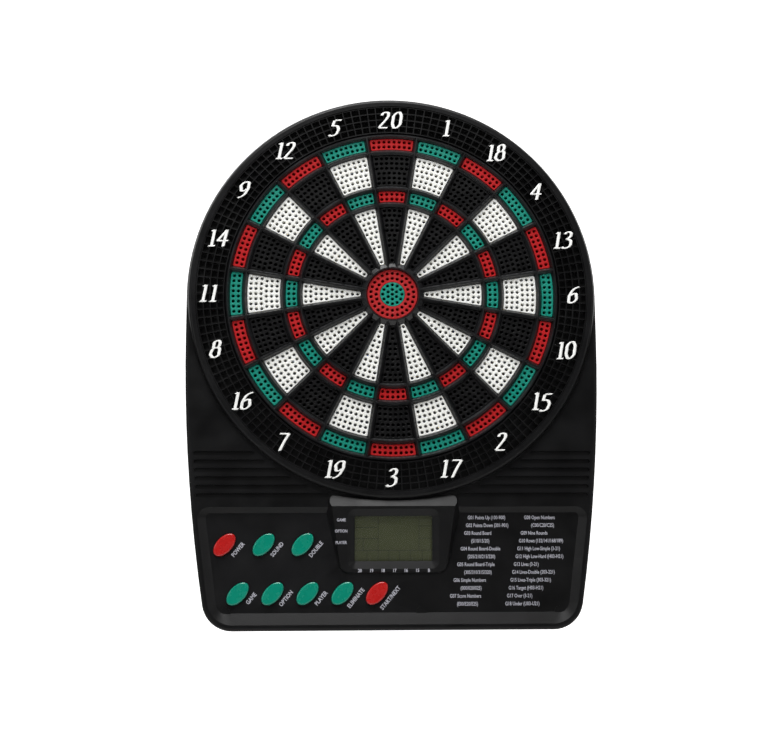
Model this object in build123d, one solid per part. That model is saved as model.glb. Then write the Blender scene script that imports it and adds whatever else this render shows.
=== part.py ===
"""Wall-hung electronic dartboard, modelled as the separate pieces that it is assembled from.

Everything is drawn with the board lying on its back: X runs to the right, Y up the board and Z out of the
wall towards the player, so a height is a distance in front of the wall. The origin is where the bull's axis
meets the wall. Each finished piece is stood up against the wall when it is written: X right, Y into the wall,
Z up. All sizes are in millimetres.
"""
from build123d import *
import math
import os

# Casing
CASE_WIDTH = 335.2        # across the half-round top
DECK_HEIGHT = 100.6       # from the drum's lowest point to the bottom edge
CASE_DEPTH = 28.0         # from the wall to the spider's crests
WALL = 2.2                # of both casing shells
SHOULDER_DROP = 34.0      # the sides run straight this far below the bull's axis
SIDE_TAPER = 20.8         # then each side draws in by this much at the bottom edge
CORNER_RADIUS = 24.0      # bottom corners
PARTING = 10.0            # height of the joint between the two shells
TONGUE = 2.5              # the rear cover's tongue reaches this far into the front housing
CLEARANCE = 0.3           # between pieces that move past each other
SEAT_GAP = 0.1            # between pieces that are only laid together
BACK_EDGE = 2.0           # rounding of the rear cover's outer edge
DECK_EDGE = 2.6           # rounding of the deck's outer edge
DECK_FRONT = 23.5         # height of the lower deck

# Drum and number band
RIM_WIDTH = 7.4           # from the casing's edge to the opening in the lip
LIP_LAND = 3.2            # flat part of the lip
SHOULDER_HEIGHT = 11.0    # the drum's rounded shoulder starts this far below the lip
NUMBER_BAND = 25.5        # from the outermost crest to the lip's opening
RING_TOP_DROP = 0.5       # the pocket ribs end this far below the lip
POCKET_DEPTH = 3.5
POCKET_ROWS = 4
POCKET_COLUMNS = 144
POCKET_RIB = 0.8
RING_BASE = 1.5           # floor of the pockets
RING_FLANGE = 2.0

# Target: crest radii follow from these widths, counted inwards from the outermost crest
DOUBLE_WIDTH = 14.2
OUTER_SINGLE_LENGTH = 31.1
TRIPLE_WIDTH = 13.8
BULL_CREST = 22.0         # radius of the crest round the bull
BULL_WALL_IN = 1.1        # the bull wall's reach inside and outside its crest
BULL_WALL_OUT = 3.7
INNER_BULL = 10.3         # radius of the hole that the inner bull slides in
SEGMENTS = 20
CLOCKWISE = (20, 1, 18, 4, 13, 6, 10, 15, 2, 17, 3, 19, 7, 16, 8, 11, 14, 9, 12, 5)
CREST_BASE = 4.1          # width of a crest wall at its foot and along its top
CREST_TOP = 0.8
FACE_DROP = 2.5           # segment faces lie this far below the crests
SPIDER_FLANGE = 4.8
SPIDER_FLANGE_THICKNESS = 2.8
HOLE_PITCH = 4.25
HOLE_RADIUS = 1.25
HOLE_MOUTH = 0.45         # chamfer at the mouth of each dart-tip hole
BULL_ROW_SHARE = 0.93     # rows of the inner bull, as a share of the pitch
HOLE_SQUEEZE = 0.158      # a row is squeezed by up to this share of a pitch to take one more hole
SEGMENT_CORNER = 1.0
SEGMENT_EDGE = 0.2        # chamfer round each segment's face
FLANGE_THICKNESS = 1.2    # at the back of each segment
FLANGE_REACH = 1.5
HIT_TRAVEL = 1.1          # how far a hit pushes a segment in

# Sensor stack, from the rear cover forwards
HEAD_ROOM = 6.0           # room for the wall screws' heads behind the pressure plate
PLATE_THICKNESS = 2.4
PLATE_RIB = 3.0
FILM = 0.2
PAD_THICKNESS = 2.8
TRAP_WALL = 2.0           # wall on the pressure plate that holds the spider's flange
TAIL_WIDTH = 12.0
TAIL_REACH = 8.0          # a tail runs this far behind the board
TAIL_PLACES = (-38.0, 38.0)

# Key tray and display console
GROOVES = 6
GROOVE_PITCH = 6.66
GROOVE_WIDTH = 3.3
GROOVE_DEPTH = 1.2
GROOVE_END_GAP = 2.9      # from the drum to a groove's inner end
GROOVE_SIDE_GAP = 4.6     # from a groove's outer end to the casing's side
LOWEST_GROOVE = 4.9       # above the drum's lowest point
TRAY_TOP_GAP = 4.5        # from the drum's lowest point to the tray's upper edge
TRAY_MARGIN = 3.9         # from the casing's side to the tray's edge
TRAY_BEVEL_SIDE = 6.8
TRAY_BEVEL_TOP = 4.6
TRAY_BEVEL_BOTTOM = 9.1
TRAY_DEPTH = 3.5
TRAY_TOP_CORNER = 9.0
FLOOR_TOP_CORNER = 3.0
FLOOR_BOTTOM_CORNER = 8.0
FLOOR_WALL = 2.0
CONSOLE_TOP_HALF = 57.0
CONSOLE_BOTTOM_HALF = 42.5
CONSOLE_DRAFT = 35.0      # degrees
CONSOLE_CORNER = 9.0
HOOD_TOP = 9.1            # above the tray's upper edge
HOOD_CREST = 0.4          # above the tray's upper edge
HOOD_HEIGHT = 7.4         # of the crest, above the tray's floor
CONSOLE_LENGTH = 52.4     # from the crest to the foot of the console's face
CONSOLE_FOOT = 1.4        # height of the face's foot above the tray's floor
BEZEL_WIDTH = 72.3
BEZEL_HEIGHT = 47.2
BEZEL_DEPTH = 2.8
BEZEL_CORNER = 6.0
BEZEL_LAND = 0.6
SCREEN_WIDTH = 61.6
SCREEN_HEIGHT = 35.4
SCREEN_CORNER = 1.0
SCREEN_RISE = 0.6         # above the middle of the console's face
WINDOW_LIP = 2.2          # the window reaches this far behind the bezel all round
WINDOW_THICKNESS = 1.5
GLASS_THICKNESS = 2.8
PIN_ROW = 18
PIN_PITCH = 3.0
PIN_RADIUS = 0.25

# Keys: x of each key, in the row it belongs to
UPPER_KEYS = {"button_power": -133.5, "button_sound": -102.7, "button_double": -72.0}
LOWER_KEYS = {
    "button_game": -122.6,
    "button_option": -95.3,
    "button_player": -67.8,
    "button_eliminate": -40.4,
    "button_start": -13.2,
}
UPPER_ROW = 29.4          # below the tray's upper edge
ROW_PITCH = 38.0
KEY_LENGTH = 21.4
KEY_WIDTH = 12.4
KEY_TILT = 46.0           # degrees
KEY_RISE = 2.4            # above the tray's floor
KEY_DOME = 1.1            # rounding of the key's top edge
KEY_FLANGE = 1.3
MAT_SHEET = 1.2
MAT_EDGE = 0.5            # the mat stays inside the board's edge by twice this
DOME_HEIGHT = 2.6
DOME_FOOT = 4.6
DOME_TOP = 3.2

# Main board
BOARD_THICKNESS = 1.6
BOARD_LEFT = -144.0
BOARD_RIGHT = 50.0
BOARD_ABOVE = 25.5        # above the upper row of keys, and below the lower one
BOARD_BELOW = 7.5
BOARD_POST = 3.0
BOARD_SCREW_EDGE = 4.0
BOARD_SCREW_DROP = 8.0
BOARD_SCREW_FOOT = 6.0
UPPER_SCREW_X = -58.0
LOWER_SCREW_X = -26.0
LOWER_SCREW_RISE = 12.5
CHIP_RADIUS = 7.0
CHIP_HEIGHT = 1.8
CHIP_IN = 22.0            # from the board's right edge
DRIVER = (10.0, 14.0, 2.2)
DRIVER_X = -90.0
CAN_RADIUS = 2.5
CAN_HEIGHT = 6.0
CAN_PLACES = (-60.0, -68.0)
CRYSTAL = (3.0, 8.0, 3.0)
CRYSTAL_X = -50.0

# Fasteners
SCREW_RADIUS = 1.45
SCREW_HEAD = 2.9
SCREW_HEAD_HEIGHT = 1.9
THREAD_GAP = 0.05
HOUSING_POST = 4.3
SCREW_SINK = 4.8          # depth of a counterbore, measured from the rear cover's inner face
SMALL_SCREW = 1.1
SMALL_HEAD = 2.2
SMALL_HEAD_HEIGHT = 1.5
PLATE_POST = 3.2
RIM_SCREWS = 8
SCREW_BITE = 1.5
UPPER_POST_IN = 17.6      # from the casing's widest line
UPPER_POST_DROP = 4.4     # below the drum's lowest point
LOWER_POST_IN = 35.6
LOWER_POST_RISE = 14.2    # above the bottom edge
MIDDLE_POST_X = 22.0
POST_TOP = 14.0           # where the two shells' posts meet

# Speaker, in the deck's left shoulder, facing the grille in the rear cover
SPEAKER_X = -124.0
SPEAKER_ABOVE = 21.6      # above the drum's lowest point
SPEAKER_RADIUS = 18.0
SPEAKER_FRAME = 5.0
FRAME_RIM = 3.0           # width of the frame's front rim
FRAME_SHEET = 1.2
THROAT = 3.2              # radius of the cone's flat middle
CONE_DEPTH = 3.0
CONE_PAPER = 0.5
LEAD_RADIUS = 0.5
LEAD_END_X = -110.0       # where the leads are soldered to the board
MAGNET_RADIUS = 8.5
MAGNET_HEIGHT = 4.0
GRILLE_PITCH = 4.2
GRILLE_HOLE = 1.1
GRILLE_RINGS = 4

# Battery compartment
CELL_RADIUS = 7.25
CELL_LENGTH = 50.5
CELLS = 3
NUB_RADIUS = 2.6
NUB_LENGTH = 1.2
CELL_GAP = 0.4
SPRING_ROOM = 5.2
SPRING_WIRE = 0.35
SPRING_RADIUS = 3.2
SPRING_PITCH = 1.3
CONTACT = 0.4
BATTERY_X = 98.0
BATTERY_BELOW = 41.7      # compartment centre, below the tray's upper edge
TUB_WALL = 1.5
TUB_ROOF = 0.8
DOOR = 1.8
LATCH_DIP = (14.0, 6.0)
DOOR_GRIPS = 6
DOOR_GRIP = (16.0, 1.2, 0.8)
DOOR_GRIP_PITCH = 2.4
DOOR_GRIP_START = 8.0
DOOR_LEDGE = 3.0          # the door overlaps the tub's mouth by this much at the latch end
PIVOT_BARREL = 1.6
PIVOT_PIN = 1.2
PIVOT_GAP = 0.05
PIVOT_REACH = 1.4

# Wall keyholes
KEYHOLE_SPACING = 160.0
KEYHOLE_ABOVE = 96.0      # above the bull's axis
KEYHOLE_RADIUS = 4.5
KEYHOLE_SLOT = 4.6
KEYHOLE_RUN = 10.0

# Places that follow from the sizes
ARCH = CASE_WIDTH / 2
DECK_TOP = -ARCH
CASE_BOTTOM = DECK_TOP - DECK_HEIGHT
DRUM_INSIDE = ARCH - WALL
OPENING = ARCH - RIM_WIDTH
LIP_BACK = CASE_DEPTH - WALL
DOUBLE_OUT = OPENING - NUMBER_BAND
DOUBLE_IN = DOUBLE_OUT - DOUBLE_WIDTH
TRIPLE_OUT = DOUBLE_IN - OUTER_SINGLE_LENGTH
TRIPLE_IN = TRIPLE_OUT - TRIPLE_WIDTH
SECTOR = 360 / SEGMENTS
FACE = CASE_DEPTH - FACE_DROP

PLATE_BACK = WALL + HEAD_ROOM
PLATE_FRONT = PLATE_BACK + PLATE_THICKNESS
PAD_BACK = PLATE_FRONT + 3 * FILM
PAD_FRONT = PAD_BACK + PAD_THICKNESS
FLANGE_FRONT = PAD_FRONT + FLANGE_THICKNESS
SPIDER_BACK = FLANGE_FRONT + CLEARANCE + SEAT_GAP
SPIDER_OUT = DOUBLE_OUT + CREST_BASE / 2
RING_IN = SPIDER_OUT + CLEARANCE
RING_TOP = CASE_DEPTH - RING_TOP_DROP
RING_FLOOR = RING_TOP - POCKET_DEPTH
RING_BACK = RING_FLOOR - RING_BASE
SPIDER_FLANGE_FRONT = RING_BACK - SEAT_GAP
SPIDER_FLANGE_BACK = SPIDER_FLANGE_FRONT - SPIDER_FLANGE_THICKNESS
RIM_POSTS = DRUM_INSIDE - SCREW_HEAD - SEAT_GAP
PLATE_RADIUS = RIM_POSTS - HOUSING_POST - 5 * SEAT_GAP
PLATE_POSTS = PLATE_RADIUS - PLATE_POST - RING_FLANGE
PAD_RADIUS = SPIDER_OUT + WALL
FLANGE_TOP = RING_BACK + SEAT_GAP * 5
FLANGE_BASE = FLANGE_TOP - RING_FLANGE
RIM_BOSS = RIM_POSTS - OPENING + SEAT_GAP * 2

TRAY_TOP = DECK_TOP - TRAY_TOP_GAP
TRAY_BOTTOM = CASE_BOTTOM + TRAY_MARGIN + WALL / 3
FLOOR = DECK_FRONT - TRAY_DEPTH
FLOOR_BACK = FLOOR - FLOOR_WALL
CREST_Y = TRAY_TOP + HOOD_CREST
FOOT_Y = CREST_Y - CONSOLE_LENGTH
CREST_Z = FLOOR + HOOD_HEIGHT
FOOT_Z = FLOOR + CONSOLE_FOOT
FACE_TILT = math.degrees(math.atan2(CREST_Z - FOOT_Z, CONSOLE_LENGTH))
SCREEN_Y = CREST_Y - CONSOLE_LENGTH / 2 + SCREEN_RISE
SCREEN_Z = FOOT_Z + (SCREEN_Y - FOOT_Y) * math.tan(math.radians(FACE_TILT))
CONSOLE_PLANE = Plane(
    origin=(0, SCREEN_Y, SCREEN_Z),
    x_dir=(1, 0, 0),
    z_dir=(0, -math.sin(math.radians(FACE_TILT)), math.cos(math.radians(FACE_TILT))),
)

UPPER_Y = TRAY_TOP - UPPER_ROW
LOWER_Y = UPPER_Y - ROW_PITCH
KEY_FLANGE_FRONT = FLOOR_BACK - CLEARANCE
KEY_BACK = KEY_FLANGE_FRONT - KEY_FLANGE
BOARD_FRONT = KEY_BACK - DOME_HEIGHT - MAT_SHEET
BOARD_BACK = BOARD_FRONT - BOARD_THICKNESS
BOARD_TOP = UPPER_Y + BOARD_ABOVE
BOARD_BOTTOM = LOWER_Y - BOARD_BELOW
BOARD_SCREWS = (
    (BOARD_LEFT + BOARD_SCREW_EDGE, BOARD_TOP - BOARD_SCREW_DROP),
    (UPPER_SCREW_X, BOARD_TOP - BOARD_SCREW_DROP),
    (BOARD_LEFT + BOARD_SCREW_FOOT, BOARD_BOTTOM + BOARD_SCREW_FOOT),
    (LOWER_SCREW_X, LOWER_Y + LOWER_SCREW_RISE),
    (BOARD_RIGHT - BOARD_SCREW_FOOT, BOARD_BOTTOM + BOARD_SCREW_DROP),
)

POSTS = [
    (-ARCH + UPPER_POST_IN, DECK_TOP - UPPER_POST_DROP),
    (ARCH - UPPER_POST_IN, DECK_TOP - UPPER_POST_DROP),
    (-ARCH + LOWER_POST_IN, CASE_BOTTOM + LOWER_POST_RISE),
    (ARCH - LOWER_POST_IN, CASE_BOTTOM + LOWER_POST_RISE),
    (MIDDLE_POST_X, CASE_BOTTOM + LOWER_POST_RISE),
]
SPEAKER_Y = DECK_TOP + SPEAKER_ABOVE
TUB_LENGTH = CELL_LENGTH + SPRING_ROOM + 2 * CONTACT
TUB_HEIGHT = CELLS * (2 * CELL_RADIUS + CELL_GAP) + CELL_GAP
TUB_Y = TRAY_TOP - BATTERY_BELOW
CELL_HEIGHT = DOOR + CLEARANCE + CELL_RADIUS
TUB_TOP = CELL_HEIGHT + CELL_RADIUS + CLEARANCE
HINGE_Y = TUB_Y + TUB_HEIGHT / 2 + PIVOT_BARREL
CELL_STARTS = [TUB_Y + (row - (CELLS - 1) / 2) * (2 * CELL_RADIUS + CELL_GAP) for row in range(CELLS)]


# Shapes that several pieces share

def slab(outline, low, high):
    """Solid between two heights with a flat outline."""
    return extrude(Pos(0, 0, low) * outline, high - low, dir=(0, 0, 1))


def ring(inner, outer, low, high):
    return slab(Circle(outer) - Circle(inner), low, high)


def post(place, radius, low, high):
    return slab(Pos(*place) * Circle(radius), low, high)


def spin(points):
    """Turn a closed profile of (radius, height) points round the bull's axis."""
    return revolve(Plane.XZ * make_face(Polyline(*points, close=True)), Axis.Z)


def polar(radius, angle):
    """Place at a radius, the angle counted clockwise from the top of the board."""
    return radius * math.sin(math.radians(angle)), radius * math.cos(math.radians(angle))


def spread(piece, count, first=0.0):
    """Equal copies of a piece, turned round the bull's axis."""
    return [Rot(0, 0, -(first + index * 360 / count)) * piece for index in range(count)]


def top_edges(piece, height):
    return [edge for edge in piece.edges() if all(abs(v.Z - height) < 1e-4 for v in edge.vertices())
            and abs(edge.center().Z - height) < 1e-4]


def half_width(y):
    """Half the casing's width at a height on the board."""
    straight = -SHOULDER_DROP
    if y >= straight:
        return ARCH
    length = straight - CASE_BOTTOM
    radius = (length**2 + SIDE_TAPER**2) / (2 * SIDE_TAPER)
    return ARCH - radius + math.sqrt(radius**2 - (straight - y) ** 2)


def case_outline(inset=0.0):
    """Half-round top, straight shoulders, sides that draw in, rounded bottom corners."""
    foot = ARCH - SIDE_TAPER
    sides = [
        CenterArc((0, 0), ARCH, 0, 180),
        Line((-ARCH, 0), (-ARCH, -SHOULDER_DROP)),
        TangentArc((-ARCH, -SHOULDER_DROP), (-foot, CASE_BOTTOM), tangent=(0, -1)),
        Line((-foot, CASE_BOTTOM), (foot, CASE_BOTTOM)),
        TangentArc((ARCH, -SHOULDER_DROP), (foot, CASE_BOTTOM), tangent=(0, -1)),
        Line((ARCH, -SHOULDER_DROP), (ARCH, 0)),
    ]
    outline = make_face(sides)
    outline = fillet(outline.vertices().sort_by(Axis.Y)[:2], CORNER_RADIUS)
    return offset(outline, -inset) if inset else outline


def sector(inner, outer, half_angle, side, corner=0.0):
    """Outline between two radii, its sides parallel to the crests and set in from their centre lines."""
    sine, cosine = math.sin(math.radians(half_angle)), math.cos(math.radians(half_angle))

    def corner_at(radius):
        along = math.sqrt(radius**2 - side**2)
        return along * sine - side * cosine, along * cosine + side * sine

    x_in, y_in = corner_at(inner)
    x_out, y_out = corner_at(outer)
    outline = make_face([
        ThreePointArc((-x_in, y_in), (0, inner), (x_in, y_in)),
        Line((x_in, y_in), (x_out, y_out)),
        ThreePointArc((x_out, y_out), (0, outer), (-x_out, y_out)),
        Line((-x_out, y_out), (-x_in, y_in)),
    ])
    return fillet(outline.vertices(), corner) if corner else outline


def screw(place, tip, head_back, shank, head, head_height):
    """Pan-head screw, driven from the back: its head sits on the side towards the wall."""
    head_front = head_back + head_height
    body = post(place, shank, head_front, tip) + post(place, head, head_back, head_front)
    slot = Pos(*place, head_back) * (Box(head, head / 5, head_height) + Box(head / 5, head, head_height))
    return body - slot


# Front housing

def drum():
    """Drum with a rounded shoulder and a flat lip round the target opening."""
    foot = LIP_BACK - SHOULDER_HEIGHT + WALL
    lip = OPENING + LIP_LAND
    reach, rise = ARCH - lip, CASE_DEPTH - foot
    shoulder = [(lip + reach * math.sin(math.radians(turn)), foot + rise * math.cos(math.radians(turn)))
                for turn in (0, 30, 60, 90)]
    profile = make_face([
        Line((OPENING, LIP_BACK), (OPENING, CASE_DEPTH)),
        Line((OPENING, CASE_DEPTH), shoulder[0]),
        Spline(*shoulder, tangents=((1, 0), (0, -1))),
        Line(shoulder[-1], (ARCH, PARTING + TONGUE + WALL)),
        Line((ARCH, PARTING + TONGUE + WALL), (DRUM_INSIDE, PARTING + TONGUE + WALL)),
        Line((DRUM_INSIDE, PARTING + TONGUE + WALL), (DRUM_INSIDE, LIP_BACK)),
        Line((DRUM_INSIDE, LIP_BACK), (OPENING, LIP_BACK)),
    ])
    return revolve(Plane.XZ * profile, Axis.Z)


def groove(side, index):
    y = DECK_TOP + LOWEST_GROOVE + index * GROOVE_PITCH
    near = math.sqrt(max((ARCH + GROOVE_END_GAP) ** 2 - y**2, 0.0))
    far = half_width(y) - GROOVE_SIDE_GAP
    outline = Pos(side * (near + far) / 2, y) * SlotOverall(far - near, GROOVE_WIDTH)
    return slab(outline, DECK_FRONT - GROOVE_DEPTH, CASE_DEPTH)


def tray_outline(side_margin, top, bottom, top_corner, bottom_corner):
    upper, lower = half_width(top) - side_margin, half_width(bottom) - side_margin
    outline = make_face(Polyline((-lower, bottom), (lower, bottom), (upper, top), (-upper, top), close=True))
    corners = outline.vertices().sort_by(Axis.Y)
    outline = fillet(corners[:2], bottom_corner)
    return fillet(outline.vertices().sort_by(Axis.Y)[-2:], top_corner)


def tray_edge():
    return tray_outline(TRAY_MARGIN, TRAY_TOP, TRAY_BOTTOM, TRAY_TOP_CORNER, CORNER_RADIUS - TRAY_MARGIN)


def tray_floor():
    margin = TRAY_MARGIN + TRAY_BEVEL_SIDE
    top, bottom = TRAY_TOP - TRAY_BEVEL_TOP, TRAY_BOTTOM + TRAY_BEVEL_BOTTOM
    return tray_outline(margin, top, bottom, FLOOR_TOP_CORNER, FLOOR_BOTTOM_CORNER)


def console(shrink=0.0):
    """Hooded block for the display: drafted sides, a sloping hood above and a face that leans forward."""
    top = TRAY_TOP + HOOD_TOP + CONSOLE_CORNER / 3
    outline = make_face(Polyline(
        (-CONSOLE_BOTTOM_HALF, FOOT_Y), (CONSOLE_BOTTOM_HALF, FOOT_Y),
        (CONSOLE_TOP_HALF, top), (-CONSOLE_TOP_HALF, top), close=True))
    outline = fillet(outline.vertices(), CONSOLE_CORNER)
    if shrink:
        outline = offset(outline, -shrink)
    block = extrude(Pos(0, 0, FLOOR) * outline, CREST_Z - FLOOR, dir=(0, 0, 1), taper=CONSOLE_DRAFT)
    block += slab(outline, FLOOR_BACK, FLOOR)
    hood_slope = (CREST_Z - DECK_FRONT) / (HOOD_TOP - HOOD_CREST)
    side_view = Plane.YZ * make_face(Polyline(
        (top, FLOOR_BACK - 1), (top, CREST_Z - hood_slope * (top - CREST_Y) - shrink),
        (CREST_Y, CREST_Z - shrink), (FOOT_Y, FOOT_Z - shrink), (FOOT_Y, FLOOR_BACK - 1), close=True))
    return block & extrude(side_view, CASE_WIDTH / 2, both=True)


def bezel_cut():
    """Sloping bezel, its square land, and the pocket behind it for the window and the glass."""
    outer = CONSOLE_PLANE * RectangleRounded(BEZEL_WIDTH, BEZEL_HEIGHT, BEZEL_CORNER)
    inner = CONSOLE_PLANE.offset(-BEZEL_DEPTH) * RectangleRounded(SCREEN_WIDTH, SCREEN_HEIGHT, SCREEN_CORNER)
    slope = loft([outer, inner], ruled=True)
    above = extrude(outer, TRAY_DEPTH)
    land = extrude(inner, -BEZEL_LAND - CLEARANCE)
    reach = 2 * (WINDOW_LIP + SEAT_GAP)
    seat = CONSOLE_PLANE.offset(-BEZEL_DEPTH - BEZEL_LAND)
    pocket = extrude(seat * Rectangle(SCREEN_WIDTH + reach, SCREEN_HEIGHT + reach), -CASE_DEPTH / 2)
    return slope + above + land + pocket


def key_outline(grow=0.0):
    return Rot(0, 0, KEY_TILT) * Ellipse(KEY_LENGTH / 2 + grow, KEY_WIDTH / 2 + grow)


def key_places():
    places = {name: (x, UPPER_Y) for name, x in UPPER_KEYS.items()}
    places.update({name: (x, LOWER_Y) for name, x in LOWER_KEYS.items()})
    return places


def front_housing():
    shell = slab(case_outline(), PARTING, DECK_FRONT)
    shell = fillet(top_edges(shell, DECK_FRONT), DECK_EDGE)
    shell -= slab(case_outline(WALL), PARTING, DECK_FRONT - WALL)
    shell += slab(tray_edge() & case_outline(WALL), FLOOR_BACK, DECK_FRONT - WALL / 2)
    shell -= loft([Pos(0, 0, DECK_FRONT) * tray_edge(), Pos(0, 0, FLOOR) * tray_floor()], ruled=True)
    shell += console()
    for side in (-1, 1):
        for index in range(GROOVES):
            shell -= groove(side, index)
    shell -= post((0, 0), DRUM_INSIDE + WALL / 2, PARTING, CASE_DEPTH + 1)
    shell += drum()
    bezel_block = extrude(CONSOLE_PLANE * Rectangle(BEZEL_WIDTH + WALL, BEZEL_HEIGHT + WALL), -CASE_DEPTH)
    shell -= console(WALL) - bezel_block - post((0, 0), ARCH + WALL / 2, 0, CASE_DEPTH)
    shell -= bezel_cut()
    for place in key_places().values():
        shell -= Pos(*place, FLOOR_BACK - 1) * extrude(key_outline(CLEARANCE), CASE_DEPTH)
    for x in TAIL_PLACES:
        shell -= Pos(x, DECK_TOP, PARTING) * Box(TAIL_WIDTH + 2, 2 * TAIL_WIDTH, 4 * TONGUE)
    for boss in spread(post((0, RIM_POSTS), RIM_BOSS, FLANGE_TOP, LIP_BACK), RIM_SCREWS):
        shell += boss
    for hole in spread(post((0, RIM_POSTS), SCREW_RADIUS + THREAD_GAP, FLANGE_TOP, LIP_BACK), RIM_SCREWS):
        shell -= hole
    for place in POSTS:
        shell += post(place, HOUSING_POST, POST_TOP, FLOOR_BACK + WALL)
        shell -= post(place, SCREW_RADIUS + THREAD_GAP, POST_TOP, FLOOR_BACK)
    for place in BOARD_SCREWS:
        shell += post(place, BOARD_POST, BOARD_FRONT, FLOOR_BACK + FLOOR_WALL / 2)
        shell -= post(place, SMALL_SCREW + THREAD_GAP, BOARD_FRONT, FLOOR_BACK)
    return shell


# Target

def catch_ring():
    """Number ring of small pockets that stops stray darts, screwed down by its outer flange."""
    pockets = []
    outer = OPENING - CLEARANCE - POCKET_RIB / 2
    step = (outer - RING_IN - POCKET_RIB / 2) / POCKET_ROWS
    half_cell = 180 / POCKET_COLUMNS
    for row in range(POCKET_ROWS):
        inner = RING_IN + POCKET_RIB + row * step
        cell = sector(inner, inner + step - POCKET_RIB, half_cell, POCKET_RIB / 2)
        for column in range(POCKET_COLUMNS):
            pockets.append((Rot(0, 0, 2 * half_cell * (column + 0.5)) * cell).wire())
    bore = Wire.make_circle(RING_IN)
    grid = extrude(Face(Wire.make_circle(OPENING - CLEARANCE), [bore, *pockets]), POCKET_DEPTH, dir=(0, 0, 1))
    body = ring(RING_IN, OPENING - CLEARANCE, RING_BACK, RING_FLOOR)
    body += ring(OPENING - 2 * WALL, DRUM_INSIDE - CLEARANCE, FLANGE_BASE, FLANGE_TOP)
    for boss in spread(post((0, PLATE_POSTS), PLATE_POST, PLATE_FRONT, RING_BACK), RIM_SCREWS, 22.5):
        body += boss
    pilot = post((0, PLATE_POSTS), SMALL_SCREW + THREAD_GAP, PLATE_FRONT, RING_BACK)
    for hole in spread(pilot, RIM_SCREWS, 22.5):
        body -= hole
    for hole in spread(post((0, RIM_POSTS), SCREW_RADIUS + THREAD_GAP, FLANGE_BASE, FLANGE_TOP), RIM_SCREWS):
        body -= hole
    return body + Pos(0, 0, RING_FLOOR) * grid


def crest_profile(centre, inside, outside):
    """Cross-section of a crest wall: straight foot, then sloping to a narrow top."""
    return [
        (centre - inside, SPIDER_BACK), (centre + outside, SPIDER_BACK),
        (centre + outside, FACE), (centre + CREST_TOP / 2, CASE_DEPTH),
        (centre - CREST_TOP / 2, CASE_DEPTH), (centre - inside, FACE),
    ]


def spider():
    half = CREST_BASE / 2
    web = spin(crest_profile(BULL_CREST, BULL_WALL_IN, BULL_WALL_OUT))
    for radius in (TRIPLE_IN, TRIPLE_OUT, DOUBLE_IN, DOUBLE_OUT):
        web += spin(crest_profile(radius, half, half))
    section = make_face(Polyline(*crest_profile(0, half, half), close=True))
    wall = extrude(Plane.XZ.offset(-DOUBLE_OUT) * section, DOUBLE_OUT - BULL_CREST)
    for crest in spread(wall, SEGMENTS, SECTOR / 2):
        web += crest
    flange_in, flange_out = SPIDER_OUT - CREST_BASE / 2, SPIDER_OUT + SPIDER_FLANGE
    web += ring(flange_in, flange_out, SPIDER_FLANGE_BACK, SPIDER_FLANGE_FRONT)
    return web


def drilled(outline, flange, places):
    """Target segment: a plate with dart-tip holes and a flange behind it that the crests hold back."""
    body = slab(outline, PAD_FRONT, FACE)
    body = chamfer(top_edges(body, FACE), SEGMENT_EDGE)
    for place in places:
        body -= post(place, HOLE_RADIUS, FLANGE_FRONT, FACE)
    mouths = [edge for edge in top_edges(body, FACE)
              if edge.geom_type == GeomType.CIRCLE and abs(edge.radius - HOLE_RADIUS) < THREAD_GAP]
    land = HOLE_PITCH * (1 - HOLE_SQUEEZE) - 2 * HOLE_RADIUS - SEAT_GAP
    return chamfer(mouths, min(HOLE_MOUTH, land / 2)) + slab(flange, PAD_FRONT, FLANGE_FRONT)


def hole_rows(inner, outer):
    count = math.floor((outer - inner) / HOLE_PITCH)
    middle = (inner + outer) / 2
    return [middle + (row - (count - 1) / 2) * HOLE_PITCH for row in range(count)]


def sector_segment(inner, outer):
    side = CREST_BASE / 2 + CLEARANCE
    half_angle = SECTOR / 2
    places = []
    rim = side + SEGMENT_EDGE + HOLE_RADIUS + HOLE_MOUTH + SEAT_GAP / 2
    for radius in hole_rows(inner, outer):
        width = 2 * (radius * math.tan(math.radians(half_angle)) - rim)
        count = max(math.floor(width / HOLE_PITCH + HOLE_SQUEEZE), 0) + 1
        widest = half_angle - math.degrees(math.asin(rim / radius))
        turn = min(math.degrees(HOLE_PITCH / radius), 2 * widest / max(count - 1, 1))
        places += [polar(radius, (index - (count - 1) / 2) * turn) for index in range(count)]
    outline = sector(inner, outer, half_angle, side, SEGMENT_CORNER)
    flange = sector(inner - FLANGE_REACH, outer + FLANGE_REACH, half_angle, side - FLANGE_REACH)
    return drilled(outline, flange, places)


def wedge():
    """The four loose segments of one number: double, outer single, triple and inner single."""
    gap = CREST_BASE / 2 + CLEARANCE
    bands = (
        (DOUBLE_IN + gap, DOUBLE_OUT - gap),
        (TRIPLE_OUT + gap, DOUBLE_IN - gap),
        (TRIPLE_IN + gap, TRIPLE_OUT - gap),
        (BULL_CREST + BULL_WALL_OUT + CLEARANCE, TRIPLE_IN - gap),
    )
    return [sector_segment(inner, outer) for inner, outer in bands]


def ring_places(radii, pitch):
    """Places on circles, evenly spaced and about a pitch apart."""
    places = []
    for radius in radii:
        count = max(round(2 * math.pi * radius / pitch), 1)
        places += [polar(radius, index * 360 / count) for index in range(count)]
    return places


def outer_bull():
    outside = BULL_CREST - BULL_WALL_IN - CLEARANCE
    flange = Circle(outside + FLANGE_REACH) - Circle(INNER_BULL)
    places = ring_places(hole_rows(INNER_BULL, outside), HOLE_PITCH)
    body = drilled(Circle(outside) - Circle(INNER_BULL), flange, places)
    recess = FLANGE_FRONT + HIT_TRAVEL + CLEARANCE
    return body - post((0, 0), INNER_BULL + FLANGE_REACH, PAD_FRONT, recess)


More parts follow.
